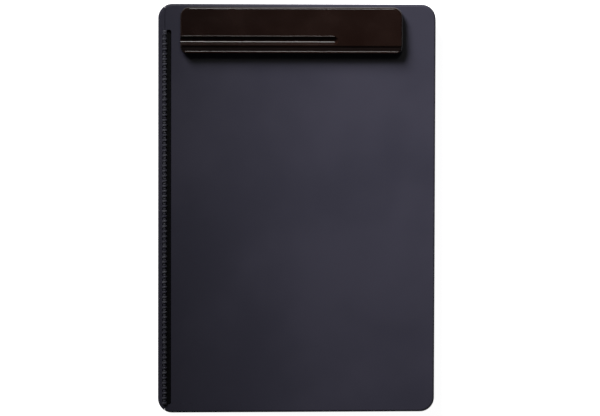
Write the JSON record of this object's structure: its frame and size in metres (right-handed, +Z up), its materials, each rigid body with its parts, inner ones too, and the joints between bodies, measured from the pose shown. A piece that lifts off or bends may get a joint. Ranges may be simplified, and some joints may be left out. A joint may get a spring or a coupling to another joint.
{
  "type": "storage clipboard box",
  "caption": "Flat storage clipboard box: a tray for sheets under a hinged writing board with a comb hinge and a low sprung clip with a pen channel.",
  "frame": {"origin": "under the middle of the closed box, on the surface it stands on", "axes": "+Y towards the clip end, +X towards the opening edge, +Z up out of the writing surface"},
  "size_m": [0.235, 0.346, 0.0278],
  "materials": {
    "board_plastic": "fine moulded grain, charcoal with a violet tint",
    "hinge_plastic": "smooth moulded, charcoal",
    "clip_plastic": "polished, warm black",
    "steel": "zinc plated",
    "rubber": "matt black"
  },
  "bodies": {
    "base": {"base_tray": "board_plastic", "hinge_strip_base": "hinge_plastic", "hinge_rod": "hinge_plastic", "rubber_feet": "rubber"},
    "lid": {"lid_board": "board_plastic", "hinge_strip_lid": "hinge_plastic", "clip_bracket": "steel", "clip_axle": "steel", "clip_rivets": "steel", "clip_backing_strip": "steel"},
    "clip": {"clip_cover": "clip_plastic", "jaw_grip": "rubber", "clip_spring_left": "steel", "clip_spring_right": "steel"}
  },
  "joints": [
    {"name": "lid_hinge", "type": "hinge", "parent": "base", "child": "lid", "pos_m": [-0.1119, -0.0085, 0.01925], "axis": [0, -1, 0], "range_deg": [0, 180]},
    {"name": "clip_hinge", "type": "hinge", "parent": "lid", "child": "clip", "pos_m": [-0.0053, 0.1672, 0.0225], "axis": [-1, 0, 0], "range_deg": [0, 25], "stiffness_Nm_per_rad": 0.5, "springref_deg": -34.38}
  ]
}
